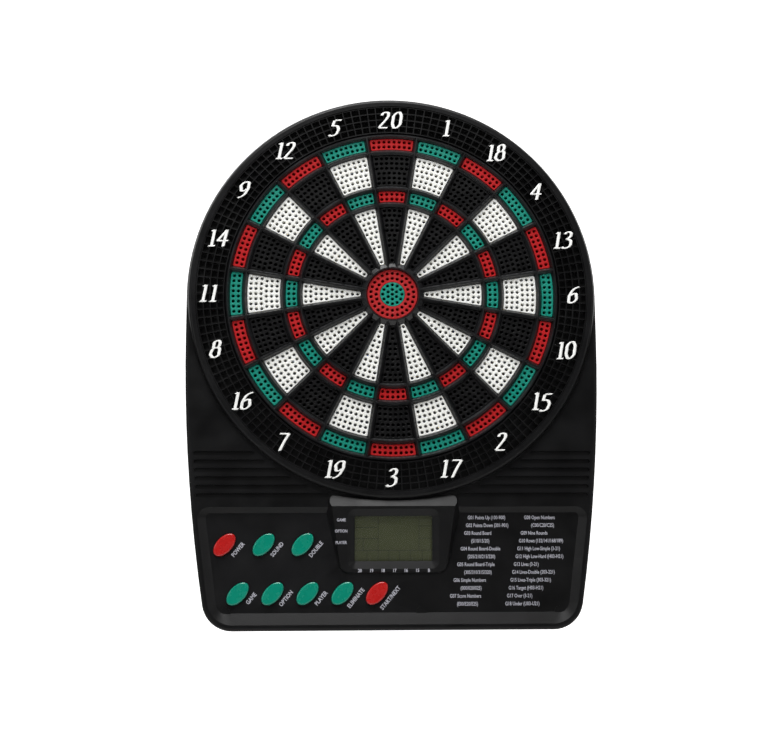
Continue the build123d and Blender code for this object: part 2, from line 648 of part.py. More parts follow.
def inner_bull():
    outside = INNER_BULL - CLEARANCE
    step = HOLE_PITCH * BULL_ROW_SHARE
    places = ring_places([0.0, step, 2 * step], HOLE_PITCH)
    return drilled(Circle(outside), Circle(outside + FLANGE_REACH), places)


# Sensor stack

def pressure_plate():
    """Stiff plate behind the sensor matrix; its raised wall traps the spider's flange."""
    plate = post((0, 0), PLATE_RADIUS, PLATE_BACK, PLATE_FRONT)
    trap = PAD_RADIUS + 2 * SEAT_GAP
    plate += ring(trap, trap + TRAP_WALL, PLATE_FRONT, SPIDER_FLANGE_BACK - SEAT_GAP)
    for radius in (PLATE_RADIUS / 3, PLATE_RADIUS * 2 / 3):
        plate += ring(radius, radius + TRAP_WALL, PLATE_BACK - PLATE_RIB, PLATE_BACK)
    arm = Box(TRAP_WALL, PLATE_RADIUS / 2, PLATE_RIB)
    arm = Pos(0, PLATE_RADIUS * 2 / 3, PLATE_BACK - PLATE_RIB / 2) * arm
    for rib in spread(arm, 12):
        plate += rib
    for x in TAIL_PLACES:
        plate -= Pos(x, -trap, PLATE_FRONT + TAIL_WIDTH) * Box(TAIL_WIDTH + 2, 9 * TRAP_WALL, 2 * TAIL_WIDTH)
    for hole in spread(post((0, PLATE_POSTS), SMALL_SCREW + THREAD_GAP, 0, CASE_DEPTH), RIM_SCREWS, 22.5):
        plate -= hole
    return plate


def matrix_tails():
    """Flat tails from the films' edge, over the plate and under the main board's upper edge."""
    end = BOARD_TOP - TAIL_REACH
    strips = [slab(Pos(x, end / 2) * Rectangle(TAIL_WIDTH, -end), PLATE_FRONT, PLATE_FRONT + 1.5 * FILM)
              for x in TAIL_PLACES]
    return [strip - post((0, 0), PAD_RADIUS + SEAT_GAP, PLATE_FRONT, CASE_DEPTH) for strip in strips]


# Keys, board and display

def key(place):
    cap = slab(key_outline(), KEY_BACK, FLOOR + KEY_RISE)
    cap = fillet(top_edges(cap, FLOOR + KEY_RISE), KEY_DOME)
    return Pos(*place) * (cap + slab(key_outline(FLANGE_REACH), KEY_BACK, KEY_FLANGE_FRONT))


def keypad_mat():
    """Silicone sheet with a dome under each key."""
    lower, upper = LOWER_Y - BOARD_BELOW + 2 * MAT_EDGE, UPPER_Y + KEY_LENGTH / 2
    left, right = BOARD_LEFT + 2 * MAT_EDGE, UPPER_KEYS["button_double"] + KEY_LENGTH / 2
    step_x, step_y = LOWER_KEYS["button_start"] + KEY_LENGTH / 2, LOWER_Y + BOARD_BELOW - MAT_EDGE
    outline = make_face(Polyline(
        (left, lower), (step_x, lower), (step_x, step_y), (right, step_y), (right, upper), (left, upper),
        close=True))
    mat = slab(outline, BOARD_FRONT, BOARD_FRONT + MAT_SHEET)
    for place in key_places().values():
        dome = extrude(Circle(DOME_FOOT), DOME_HEIGHT,
                       taper=math.degrees(math.atan2(DOME_FOOT - DOME_TOP, DOME_HEIGHT)))
        mat += Pos(*place, BOARD_FRONT + MAT_SHEET) * dome
    for place in BOARD_SCREWS:
        mat -= post(place, BOARD_POST + CLEARANCE, BOARD_FRONT, BOARD_FRONT + MAT_SHEET)
    return mat


def main_board():
    outline = make_face(Polyline(
        (BOARD_LEFT, BOARD_BOTTOM), (BOARD_RIGHT, BOARD_BOTTOM),
        (BOARD_RIGHT, BOARD_TOP), (BOARD_LEFT, BOARD_TOP), close=True))
    board = slab(outline, BOARD_BACK, BOARD_FRONT)
    for place in BOARD_SCREWS:
        board -= post(place, SMALL_SCREW + THREAD_GAP, BOARD_BACK, BOARD_FRONT)
    for x, y in pin_places():
        board -= post((x, y), PIN_RADIUS + THREAD_GAP, BOARD_BACK, BOARD_FRONT)
    return board


def board_components():
    """Sealed chips, capacitors and a crystal on the board's back."""
    middle = (UPPER_Y + LOWER_Y) / 2
    chip = post((BOARD_RIGHT - CHIP_IN, LOWER_Y), CHIP_RADIUS, BOARD_BACK - CHIP_HEIGHT, BOARD_BACK)
    driver = Pos(DRIVER_X, middle, BOARD_BACK - DRIVER[2] / 2) * Box(*DRIVER)
    cans = [post((x, middle), CAN_RADIUS, BOARD_BACK - CAN_HEIGHT, BOARD_BACK) for x in CAN_PLACES]
    crystal = Pos(CRYSTAL_X, middle, BOARD_BACK - CRYSTAL[2] / 2) * Box(*CRYSTAL)
    return [chip, driver, *cans, crystal]


def pin_places():
    edge = (SCREEN_HEIGHT / 2 + WINDOW_LIP - 1) * math.cos(math.radians(FACE_TILT))
    return [((index - (PIN_ROW - 1) / 2) * PIN_PITCH, SCREEN_Y + side * edge)
            for side in (-1, 1) for index in range(PIN_ROW)]


def display_layer(front_depth, thickness):
    plate = Rectangle(SCREEN_WIDTH + 2 * WINDOW_LIP, SCREEN_HEIGHT + 2 * WINDOW_LIP)
    return extrude(CONSOLE_PLANE.offset(-front_depth) * plate, -thickness)


def lcd_pins():
    """Two rows of contact pins between the glass and the board."""
    back = BEZEL_DEPTH + BEZEL_LAND + WINDOW_THICKNESS + GLASS_THICKNESS + 3 * SEAT_GAP
    slope = math.tan(math.radians(FACE_TILT))
    below = back / math.cos(math.radians(FACE_TILT)) + PIN_RADIUS * slope
    return [post((x, y), PIN_RADIUS, BOARD_BACK - 1, SCREEN_Z + (y - SCREEN_Y) * slope - below)
            for x, y in pin_places()]


# Rear cover, speaker and batteries

def grille_places():
    rings = ring_places([index * GRILLE_PITCH for index in range(GRILLE_RINGS)], GRILLE_PITCH)
    return [(SPEAKER_X + x, SPEAKER_Y + y) for x, y in rings]


def tub_box(grow, low, high):
    outline = Pos(BATTERY_X, TUB_Y) * Rectangle(TUB_LENGTH + 2 * grow, TUB_HEIGHT + 2 * grow)
    return slab(outline, low, high)


def door_opening(gap):
    """Outline of the door: it covers the tub's mouth, the hinge barrel above it and a ledge below."""
    top = HINGE_Y + PIVOT_BARREL + gap
    bottom = TUB_Y - TUB_HEIGHT / 2 - DOOR_LEDGE - gap
    return Pos(BATTERY_X, (top + bottom) / 2) * Rectangle(TUB_LENGTH + 2 * gap, top - bottom)


def rear_cover():
    shell = slab(case_outline(), 0, PARTING)
    back_rim = [edge for edge in shell.edges() if abs(edge.center().Z) < 1e-4]
    shell = fillet(back_rim, BACK_EDGE)
    shell -= slab(case_outline(WALL), WALL, PARTING)
    shell += slab(case_outline(WALL + SEAT_GAP) - case_outline(2 * WALL), WALL, PARTING + TONGUE)
    across = TUB_LENGTH + 2 * (TUB_WALL + PIVOT_REACH)
    tub_out = Pos(BATTERY_X, TUB_Y + PIVOT_BARREL) * Rectangle(
        across, TUB_HEIGHT + 2 * (TUB_WALL + DOOR_LEDGE) + 2 * PIVOT_BARREL)
    shell += slab(tub_out, 0, DOOR + 2 * TUB_WALL + PIVOT_BARREL)
    shell += tub_box(TUB_WALL, WALL, TUB_TOP + TUB_ROOF)
    shell -= tub_box(0, DOOR, TUB_TOP)
    shell -= slab(door_opening(CLEARANCE), 0, DOOR + CLEARANCE)
    barrel_room = Pos(BATTERY_X, HINGE_Y, DOOR) * Rot(0, 90, 0) * Cylinder(
        PIVOT_BARREL + CLEARANCE, TUB_LENGTH + 2 * CLEARANCE)
    shell -= barrel_room
    shell -= pivot_line(PIVOT_PIN + PIVOT_GAP, TUB_LENGTH / 2 + PIVOT_REACH + CLEARANCE)
    latch = Pos(BATTERY_X, TUB_Y - TUB_HEIGHT / 2 - DOOR_LEDGE, DOOR / 2) * Box(*LATCH_DIP, DOOR + 1)
    shell -= latch
    clear_of_drum = ring(DRUM_INSIDE - 2 * SEAT_GAP, ARCH, WALL, CASE_DEPTH)
    for place in rim_post_places() + POSTS:
        top = FLANGE_BASE if math.hypot(*place) < ARCH else POST_TOP
        shell += post(place, HOUSING_POST, 0, top - SEAT_GAP) - clear_of_drum
        shell -= post(place, SCREW_HEAD + CLEARANCE, 0, WALL + SCREW_SINK)
        shell -= post(place, SCREW_RADIUS + THREAD_GAP, 0, top)
    for side in (-1, 1):
        entry = (side * KEYHOLE_SPACING / 2, KEYHOLE_ABOVE)
        slot = Pos(entry[0], entry[1] + KEYHOLE_RUN / 2) * Rectangle(KEYHOLE_SLOT, KEYHOLE_RUN)
        end = (entry[0], entry[1] + KEYHOLE_RUN)
        shell -= post(entry, KEYHOLE_RADIUS, 0, WALL)
        shell -= slab(slot, 0, WALL)
        shell -= post(end, KEYHOLE_SLOT / 2, 0, WALL)
    shell += Pos(SPEAKER_X, SPEAKER_Y) * ring(
        SPEAKER_RADIUS + SEAT_GAP, SPEAKER_RADIUS + TUB_WALL, WALL, WALL + SPEAKER_FRAME / 2)
    for place in grille_places():
        shell -= post(place, GRILLE_HOLE, 0, WALL)
    return shell


def rim_post_places():
    return [polar(RIM_POSTS, index * 360 / RIM_SCREWS) for index in range(RIM_SCREWS)]


def pivot_line(radius, half_length):
    return Pos(BATTERY_X, HINGE_Y, DOOR) * Rot(0, 90, 0) * Cylinder(radius, 2 * half_length)


def battery_door():
    """Door on two pivot stubs at its upper edge, with a sprung tongue and a finger dip at the lower one."""
    length = TUB_LENGTH
    bottom = TUB_Y - TUB_HEIGHT / 2 - DOOR_LEDGE
    plate = slab(Pos(BATTERY_X, (HINGE_Y + bottom) / 2) * Rectangle(length, HINGE_Y - bottom), 0, DOOR)
    barrel = pivot_line(PIVOT_BARREL, length / 2) & slab(door_opening(0), 0, 2 * DOOR + PIVOT_BARREL)
    door = plate + barrel + pivot_line(PIVOT_PIN, length / 2 + PIVOT_REACH)
    for index in range(DOOR_GRIPS):
        grip_y = bottom + DOOR_GRIP_START + index * DOOR_GRIP_PITCH
        door -= Pos(BATTERY_X, grip_y, 0) * Box(*DOOR_GRIP)
    return door


def speaker_frame():
    top = WALL + SPEAKER_FRAME
    rim = ring(SPEAKER_RADIUS - FRAME_RIM, SPEAKER_RADIUS, WALL, WALL + FRAME_SHEET)
    basket = ring(SPEAKER_RADIUS - FRAME_RIM - FRAME_SHEET, SPEAKER_RADIUS - FRAME_RIM, WALL, top)
    back = ring(THROAT - SEAT_GAP, SPEAKER_RADIUS - FRAME_RIM, top, top + FRAME_SHEET)
    return Pos(SPEAKER_X, SPEAKER_Y) * (rim + basket + back)


def speaker_cone():
    low = WALL + CONE_PAPER
    rim = SPEAKER_RADIUS - FRAME_RIM - FRAME_SHEET - SEAT_GAP
    profile = [
        (0, low + CONE_DEPTH), (THROAT, low + CONE_DEPTH), (rim, low), (rim, low + CONE_PAPER),
        (THROAT, low + CONE_DEPTH + CONE_PAPER), (0, low + CONE_DEPTH + CONE_PAPER),
    ]
    return Pos(SPEAKER_X, SPEAKER_Y) * spin(profile)


def speaker_magnet():
    low = WALL + SPEAKER_FRAME + FRAME_SHEET
    return post((SPEAKER_X, SPEAKER_Y), MAGNET_RADIUS, low, low + MAGNET_HEIGHT)


def lead(start, end, height_start, height_end, side):
    """Thin insulated wire from one place to another, clear of the shell."""
    middle = (height_start + height_end) / 2
    points = [
        (start[0] + side, start[1], height_start), (start[0] + side, start[1], middle),
        (end[0] + side, end[1], middle), (end[0] + side, end[1], height_end),
    ]
    parts = []
    for first, last in zip(points, points[1:]):
        line = Line(first, last)
        parts.append(sweep(Plane(origin=first, z_dir=line @ 1 - line @ 0) * Circle(LEAD_RADIUS), path=line))
    bends = [Pos(*point) * Sphere(LEAD_RADIUS) for point in points[1:3]]
    return parts[0] + parts[1] + parts[2] + bends[0] + bends[1]


def cell(y, direction):
    """AA cell with its button end towards +X or -X."""
    middle = BATTERY_X + direction * SPRING_ROOM / 2
    body = Rot(0, 90, 0) * Cylinder(CELL_RADIUS, CELL_LENGTH - NUB_LENGTH)
    nub = Rot(0, 90, 0) * Cylinder(NUB_RADIUS, NUB_LENGTH)
    nub = Pos(direction * (CELL_LENGTH - NUB_LENGTH) / 2, 0, 0) * nub
    return Pos(middle, y, CELL_HEIGHT) * (Pos(-direction * NUB_LENGTH / 2, 0, 0) * body + nub)


def cell_directions():
    return [1 if row % 2 == 0 else -1 for row in range(CELLS)]


def spring_at(y, direction):
    """Coil spring at a cell's flat end."""
    room = SPRING_ROOM - 3 * SEAT_GAP - 2 * SPRING_WIRE
    coil = Helix(SPRING_PITCH, room, SPRING_RADIUS)
    wire = sweep(Plane(origin=coil @ 0, z_dir=coil % 0) * Circle(SPRING_WIRE), path=coil, is_frenet=True)
    start = BATTERY_X - direction * (TUB_LENGTH / 2 - CONTACT - SEAT_GAP - SPRING_WIRE)
    return Pos(start, y, CELL_HEIGHT) * Rot(0, direction * 90, 0) * wire


def contact_at(x, y):
    return Pos(x, y, CELL_HEIGHT) * Box(CONTACT - 2 * SEAT_GAP, 2 * CELL_RADIUS - 3, 2 * CELL_RADIUS - 3)


def stack_disc(low):
    return post((0, 0), PAD_RADIUS, low, low + FILM)


def build():
    """Every piece of the board, by name."""
    pieces = {
        "front_housing": front_housing(), "rear_cover": rear_cover(), "catch_ring": catch_ring(),
        "spider": spider(), "outer_bull": outer_bull(), "inner_bull": inner_bull(),
    }
    segments = wedge()
    for index, number in enumerate(CLOCKWISE):
        pieces[f"wedge_{number:02d}"] = [Rot(0, 0, -index * SECTOR) * segment for segment in segments]
    pieces["sensor_pad"] = post((0, 0), PAD_RADIUS, PAD_BACK, PAD_FRONT)
    pieces["matrix_rear_film"] = stack_disc(PLATE_FRONT)
    pieces["matrix_spacer"] = stack_disc(PLATE_FRONT + FILM)
    pieces["matrix_front_film"] = stack_disc(PLATE_FRONT + 2 * FILM)
    pieces["matrix_tails"] = matrix_tails()
    pieces["pressure_plate"] = pressure_plate()
    for name, place in key_places().items():
        pieces[name] = key(place)
    pieces["keypad_mat"] = keypad_mat()
    pieces["main_board"] = main_board()
    pieces["board_components"] = board_components()
    window_front = BEZEL_DEPTH + BEZEL_LAND + SEAT_GAP
    pieces["lcd_window"] = display_layer(window_front, WINDOW_THICKNESS)
    pieces["lcd_glass"] = display_layer(window_front + WINDOW_THICKNESS + SEAT_GAP, GLASS_THICKNESS)
    pieces["lcd_pins"] = lcd_pins()
    pieces["speaker_frame"] = speaker_frame()
    pieces["speaker_cone"] = speaker_cone()
    pieces["speaker_magnet"] = speaker_magnet()
    directions = cell_directions()
    rows = list(zip(CELL_STARTS, directions))
    end = TUB_LENGTH / 2 - CONTACT / 2
    pieces["battery_cells"] = [cell(y, direction) for y, direction in rows]
    pieces["battery_springs"] = [spring_at(y, direction) for y, direction in rows]
    pieces["battery_plates"] = [contact_at(BATTERY_X + side * end, y) for y, _ in rows for side in (-1, 1)]
    pieces["battery_door"] = battery_door()
    speaker_exit = (SPEAKER_X, SPEAKER_Y - MAGNET_RADIUS - 4 * LEAD_RADIUS)
    board_end = (LEAD_END_X, UPPER_Y + KEY_LENGTH / 2)
    low, high = WALL + SPEAKER_FRAME + FRAME_SHEET + LEAD_RADIUS, BOARD_BACK - 2 * SEAT_GAP
    pieces["speaker_leads"] = [
        lead(speaker_exit, board_end, low, high, side * 2 * LEAD_RADIUS) for side in (-1, 1)]
    pieces["housing_screws"] = [
        screw(place, (LIP_BACK if math.hypot(*place) < ARCH else FLOOR_BACK) - SCREW_BITE,
              WALL + SCREW_SINK - SCREW_HEAD_HEIGHT, SCREW_RADIUS, SCREW_HEAD, SCREW_HEAD_HEIGHT)
        for place in rim_post_places() + POSTS]
    plate_places = [polar(PLATE_POSTS, 22.5 + index * 360 / RIM_SCREWS) for index in range(RIM_SCREWS)]
    pieces["plate_screws"] = [
        screw(place, PLATE_FRONT + 4 * SCREW_BITE, PLATE_BACK - SMALL_HEAD_HEIGHT, SMALL_SCREW, SMALL_HEAD,
              SMALL_HEAD_HEIGHT) for place in plate_places]
    pieces["board_screws"] = [
        screw(place, FLOOR_BACK - SCREW_BITE, BOARD_BACK - SMALL_HEAD_HEIGHT, SMALL_SCREW, SMALL_HEAD,
              SMALL_HEAD_HEIGHT) for place in BOARD_SCREWS]
    return pieces


def stand_up(piece):
    """Loose solids of a piece, turned from the bench to the wall."""
    groups = piece if isinstance(piece, list) else [piece]
    return [Rot(90, 0, 0) * solid for group in groups for solid in group.solids()]


os.makedirs("parts", exist_ok=True)
for name, piece in build().items():
    solids = stand_up(piece)
    shape = solids[0] if len(solids) == 1 else Compound(children=solids)
    shape.label = name
    export_step(shape, f"parts/{name}.step")
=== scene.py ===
import math

import bpy
from mathutils import Matrix, Vector


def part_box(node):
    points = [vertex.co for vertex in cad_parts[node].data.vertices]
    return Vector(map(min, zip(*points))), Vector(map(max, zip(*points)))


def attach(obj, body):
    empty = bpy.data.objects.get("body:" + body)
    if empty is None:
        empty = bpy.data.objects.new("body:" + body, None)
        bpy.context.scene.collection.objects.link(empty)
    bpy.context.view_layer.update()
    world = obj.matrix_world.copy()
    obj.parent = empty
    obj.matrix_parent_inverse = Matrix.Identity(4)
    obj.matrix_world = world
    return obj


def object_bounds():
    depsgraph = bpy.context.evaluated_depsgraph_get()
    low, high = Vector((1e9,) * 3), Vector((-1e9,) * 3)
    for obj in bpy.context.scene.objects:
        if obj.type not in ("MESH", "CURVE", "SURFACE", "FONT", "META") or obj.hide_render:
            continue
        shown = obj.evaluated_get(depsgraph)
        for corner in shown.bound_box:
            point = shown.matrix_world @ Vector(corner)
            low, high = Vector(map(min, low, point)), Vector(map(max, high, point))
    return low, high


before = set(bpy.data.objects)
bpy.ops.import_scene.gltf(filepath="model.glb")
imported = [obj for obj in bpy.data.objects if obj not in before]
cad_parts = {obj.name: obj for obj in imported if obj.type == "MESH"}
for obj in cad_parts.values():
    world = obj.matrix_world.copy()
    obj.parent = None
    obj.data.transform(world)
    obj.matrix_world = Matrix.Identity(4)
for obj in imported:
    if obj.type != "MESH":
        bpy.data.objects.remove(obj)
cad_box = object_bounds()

# ---------------------------------------------------------------- studio
# The board hangs free in front of a bright sweep, lit by one large soft light overhead and two weak
# fills, and is seen from a little below and a touch to the left of its axis.
MM = 0.001
bpy.context.scene.view_settings.view_transform = "Standard"
board_low, board_high = Vector(cad_box[0]), Vector(cad_box[1])
BULL = Vector((0, board_low.y, 0))
VIEW_AZIMUTH = math.radians(-3.0)
VIEW_ELEVATION = math.radians(-11.4)
VIEW_DISTANCE = 1.198
VIEW_ROLL = math.radians(-0.3)
LENS = 69.26
back = Vector((
    math.sin(VIEW_AZIMUTH) * math.cos(VIEW_ELEVATION),
    -math.cos(VIEW_AZIMUTH) * math.cos(VIEW_ELEVATION),
    math.sin(VIEW_ELEVATION),
))
camera_data = bpy.data.cameras.new("camera")
camera_data.lens = LENS
camera_data.shift_x = -0.0145
camera_data.shift_y = -0.1066
camera = bpy.data.objects.new("camera", camera_data)
camera.matrix_world = (
    Matrix.Translation(BULL + back * VIEW_DISTANCE)
    @ back.to_track_quat("Z", "Y").to_matrix().to_4x4()
    @ Matrix.Rotation(VIEW_ROLL, 4, "Z")
)
bpy.context.collection.objects.link(camera)
bpy.context.scene.camera = camera


def soft_light(name, place, size, power):
    """Square area light aimed at the middle of the board."""
    data = bpy.data.lights.new(name, "AREA")
    data.size = size
    data.energy = power
    lamp = bpy.data.objects.new(name, data)
    place = Vector(place)
    aim = place - Vector((0, 0, -0.05))
    lamp.matrix_world = Matrix.Translation(place) @ aim.to_track_quat("Z", "Y").to_matrix().to_4x4()
    bpy.context.collection.objects.link(lamp)


soft_light("overhead_light", (-0.15, -0.85, 1.55), 1.1, 54)
soft_light("left_fill", (-1.6, -1.5, 0.35), 0.9, 7)
soft_light("right_fill", (1.7, -1.4, 0.25), 0.9, 5)

world = bpy.data.worlds.new("room")
world.use_nodes = True
world.node_tree.nodes["Background"].inputs["Color"].default_value = (1, 1, 1, 1)
world.node_tree.nodes["Background"].inputs["Strength"].default_value = 0.035
bpy.context.scene.world = world


def fresh(name, add, **options):
    """Run one primitive operator and hand back the new object, renamed."""
    bpy.ops.object.select_all(action="DESELECT")
    add(**options)
    piece = bpy.context.object
    piece.name = name
    piece.data.name = name
    return piece


def painted(name):
    """New node material; gives the material, its nodes, its links and its shader."""
    material = bpy.data.materials.new(name)
    material.use_nodes = True
    nodes = material.node_tree.nodes
    return material, nodes, material.node_tree.links, nodes["Principled BSDF"]


def wear(piece, material):
    piece.data.materials.clear()
    piece.data.materials.append(material)


FLOOR_PLACE = (0, 0, board_low.z - 0.55)
floor = fresh("floor", bpy.ops.mesh.primitive_plane_add, size=12, location=FLOOR_PLACE)
paper, nodes, links, shader = painted("pale_floor")
shader.inputs["Base Color"].default_value = (0.86, 0.86, 0.85, 1)
shader.inputs["Roughness"].default_value = 0.8
wear(floor, paper)
sweep = fresh("sweep", bpy.ops.mesh.primitive_plane_add, size=14, location=(0, 3.2, 2.0),
              rotation=(math.pi / 2, 0, 0))
paper, nodes, links, shader = painted("bright_sweep")
shader.inputs["Base Color"].default_value = (0.9, 0.9, 0.9, 1)
shader.inputs["Emission Color"].default_value = (1, 1, 1, 1)
shader.inputs["Emission Strength"].default_value = 0.95
wear(sweep, paper)

# ---------------------------------------------------------------- casing
# Front housing, rear cover and battery door are black ABS with a fine spark-eroded grain. Handling
# polishes the raised edges a little, so they shine more; they are painted a shade greyer than the
# flats, part wear and part painted highlight.
BLACK_ABS = (0.0022, 0.0022, 0.0024)
# Lighter tone: random cloud on the flats, and on raised edges part wear, part painted highlight.
WORN_AND_SHEEN_ABS = (0.0046, 0.0046, 0.0051)


def object_noise(nodes, links, scale, detail=2.0):
    """Noise on the object's own coordinates."""
    place = nodes.new("ShaderNodeTexCoord")
    noise = nodes.new("ShaderNodeTexNoise")
    noise.inputs["Scale"].default_value = scale
    noise.inputs["Detail"].default_value = detail
    links.new(place.outputs["Object"], noise.inputs["Vector"])
    return noise.outputs["Fac"]


def remap(nodes, links, value, low, high, to_low, to_high):
    span = nodes.new("ShaderNodeMapRange")
    sockets = ("From Min", "From Max", "To Min", "To Max")
    for socket, number in zip(sockets, (low, high, to_low, to_high)):
        span.inputs[socket].default_value = number
    links.new(value, span.inputs["Value"])
    return span.outputs["Result"]


def cloudy(nodes, links, scale, detail, to_low, to_high, low=0.3, high=0.7):
    """Noise spread over a range of values: for tone, polish and wear."""
    return remap(nodes, links, object_noise(nodes, links, scale, detail), low, high, to_low, to_high)


def blend_colours(nodes, links, share, first, second):
    mix = nodes.new("ShaderNodeMix")
    mix.data_type = "RGBA"
    links.new(share, mix.inputs["Factor"])
    for socket, colour in (("A", first), ("B", second)):
        target = [s for s in mix.inputs if s.name == socket and s.type == "RGBA"][0]
        if isinstance(colour, tuple):
            target.default_value = (*colour, 1)
        else:
            links.new(colour, target)
    return [s for s in mix.outputs if s.type == "RGBA"][0]


def grain_bump(nodes, links, shader, scale, height, detail=3.0):
    bump = nodes.new("ShaderNodeBump")
    bump.inputs["Strength"].default_value = 1.0
    bump.inputs["Distance"].default_value = height
    links.new(object_noise(nodes, links, scale, detail), bump.inputs["Height"])
    links.new(bump.outputs["Normal"], shader.inputs["Normal"])


def moulded(name, dark, light, rough_low, rough_high, grain=1400, depth=0.00006, gloss=0.5):
    """Moulded plastic: cloudy tone, uneven polish, fine grain; edges lighter as wear and painted
    highlight.
    """
    material, nodes, links, shader = painted(name)
    cloud = cloudy(nodes, links, 28, 4, 0, 0.55, low=0.35)
    edge = nodes.new("ShaderNodeNewGeometry").outputs["Pointiness"]
    # Convex edges and crests are painted lighter: part handling wear, part painted highlight.
    worn_and_highlight_edge = remap(nodes, links, edge, 0.52, 0.62, 0, 1)
    toned = blend_colours(nodes, links, cloud, dark, light)
    links.new(blend_colours(nodes, links, worn_and_highlight_edge, toned, tuple(1.25 * v for v in light)),
              shader.inputs["Base Color"])
    links.new(cloudy(nodes, links, 55, 5, rough_low, rough_high), shader.inputs["Roughness"])
    shader.inputs["Specular IOR Level"].default_value = gloss
    grain_bump(nodes, links, shader, grain, depth)
    return material


abs_grain = moulded("abs_grain", BLACK_ABS, WORN_AND_SHEEN_ABS, 0.34, 0.46, gloss=0.2)
for node in ("front_housing", "rear_cover", "battery_door"):
    wear(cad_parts[node], abs_grain)

# ---------------------------------------------------------------- catch ring and spider
# Both are black nylon, shot glossier than the casing so that darts slide off. The ring is a grid of
# shallow pockets; the spider's narrow crests carry a painted highlight, a lighter line in their colour.
BLACK_NYLON = (0.0015, 0.0015, 0.0017)
# Lighter nylon tone: random cloud, edge wear and painted highlight on the ring; the spider's body
# colour.
RUBBED_AND_SHEEN_NYLON = (0.003, 0.003, 0.0035)
ring_nylon = moulded("ring_nylon", BLACK_NYLON, RUBBED_AND_SHEEN_NYLON, 0.3, 0.42, 2200, 0.00003, 0.35)
# The spider's lighter tone on its crests is a painted highlight along the narrow tops.
spider_nylon = moulded("spider_nylon", RUBBED_AND_SHEEN_NYLON, (0.008, 0.008, 0.009), 0.28, 0.4, 2200, 0.00003)
wear(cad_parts["catch_ring"], ring_nylon)
wear(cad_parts["spider"], spider_nylon)

# ---------------------------------------------------------------- target segments
# Loose nylon segments, dyed through: black numbers have red doubles and triples, white numbers have teal
# ones. Each wedge of four shares one material, banded by its distance from the bull.
WHITE = (0.80, 0.80, 0.77)
BLACK = (0.0018, 0.0018, 0.0021)
RED = (0.40, 0.010, 0.012)
TEAL = (0.001, 0.225, 0.165)
DUST = (0.004, 0.004, 0.004)
BANDS = ((0.0756, 0.0894), (0.1205, 0.1347))
DARK_NUMBERS = (20, 18, 13, 10, 2, 3, 7, 8, 14, 12)


def dyed(name, single, scoring, glow=0.0, gloss=0.5):
    """Nylon with the scoring colour in two bands; glow is the light carried under its skin."""
    material, nodes, links, shader = painted(name)
    shader.inputs["Specular IOR Level"].default_value = gloss
    shader.inputs["Subsurface Weight"].default_value = glow
    shader.inputs["Subsurface Radius"].default_value = (1.0, 0.95, 0.85)
    shader.inputs["Subsurface Scale"].default_value = 0.0025
    place = nodes.new("ShaderNodeTexCoord")
    flat = nodes.new("ShaderNodeVectorMath")
    flat.operation = "MULTIPLY"
    flat.inputs[1].default_value = (1, 0, 1)
    reach = nodes.new("ShaderNodeVectorMath")
    reach.operation = "LENGTH"
    links.new(place.outputs["Object"], flat.inputs[0])
    links.new(flat.outputs["Vector"], reach.inputs[0])
    total = None
    for low, high in BANDS:
        near = nodes.new("ShaderNodeMath")
        near.operation = "COMPARE"
        near.inputs[1].default_value = (low + high) / 2
        near.inputs[2].default_value = (high - low) / 2
        links.new(reach.outputs["Value"], near.inputs[0])
        if total is None:
            total = near.outputs["Value"]
        else:
            both = nodes.new("ShaderNodeMath")
            both.operation = "MAXIMUM"
            links.new(total, both.inputs[0])
            links.new(near.outputs["Value"], both.inputs[1])
            total = both.outputs["Value"]
    banded = blend_colours(nodes, links, total, single, scoring)
    shade = cloudy(nodes, links, 90, 4, 0, 0.12, high=0.75)
    links.new(blend_colours(nodes, links, shade, banded, DUST), shader.inputs["Base Color"])
    links.new(cloudy(nodes, links, 140, 3, 0.34, 0.46), shader.inputs["Roughness"])
    grain_bump(nodes, links, shader, 2600, 0.00002)
    return material


black_wedge = dyed("black_wedge", BLACK, RED, gloss=0.25)
white_wedge = dyed("white_wedge", WHITE, TEAL, glow=0.3)
for number in range(1, 21):
    wear(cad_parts[f"wedge_{number:02d}"], black_wedge if number in DARK_NUMBERS else white_wedge)
wear(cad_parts["outer_bull"], dyed("outer_bull_nylon", RED, RED))
wear(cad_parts["inner_bull"], dyed("inner_bull_nylon", TEAL, TEAL))

# ---------------------------------------------------------------- keys
# Eight oval keys, polished ABS moulded in red or teal.
KEY_RED, KEY_TEAL = (0.42, 0.010, 0.009), (0.0, 0.215, 0.142)


def polished(name, colour, deep):
    material, nodes, links, shader = painted(name)
    tone = cloudy(nodes, links, 60, 2, 0, 0.25)
    links.new(blend_colours(nodes, links, tone, colour, deep), shader.inputs["Base Color"])
    links.new(cloudy(nodes, links, 200, 2, 0.2, 0.32), shader.inputs["Roughness"])
    shader.inputs["Coat Weight"].default_value = 0.25
    shader.inputs["Coat Roughness"].default_value = 0.15
    grain_bump(nodes, links, shader, 1800, 0.00001)
    return material


key_red = polished("key_red", KEY_RED, (0.34, 0.007, 0.007))
key_teal = polished("key_teal", KEY_TEAL, (0.0, 0.175, 0.115))
KEYS = {
    "button_power": key_red, "button_sound": key_teal, "button_double": key_teal,
    "button_game": key_teal, "button_option": key_teal, "button_player": key_teal,
    "button_eliminate": key_teal, "button_start": key_red,
}
for node, material in KEYS.items():
    wear(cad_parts[node], material)

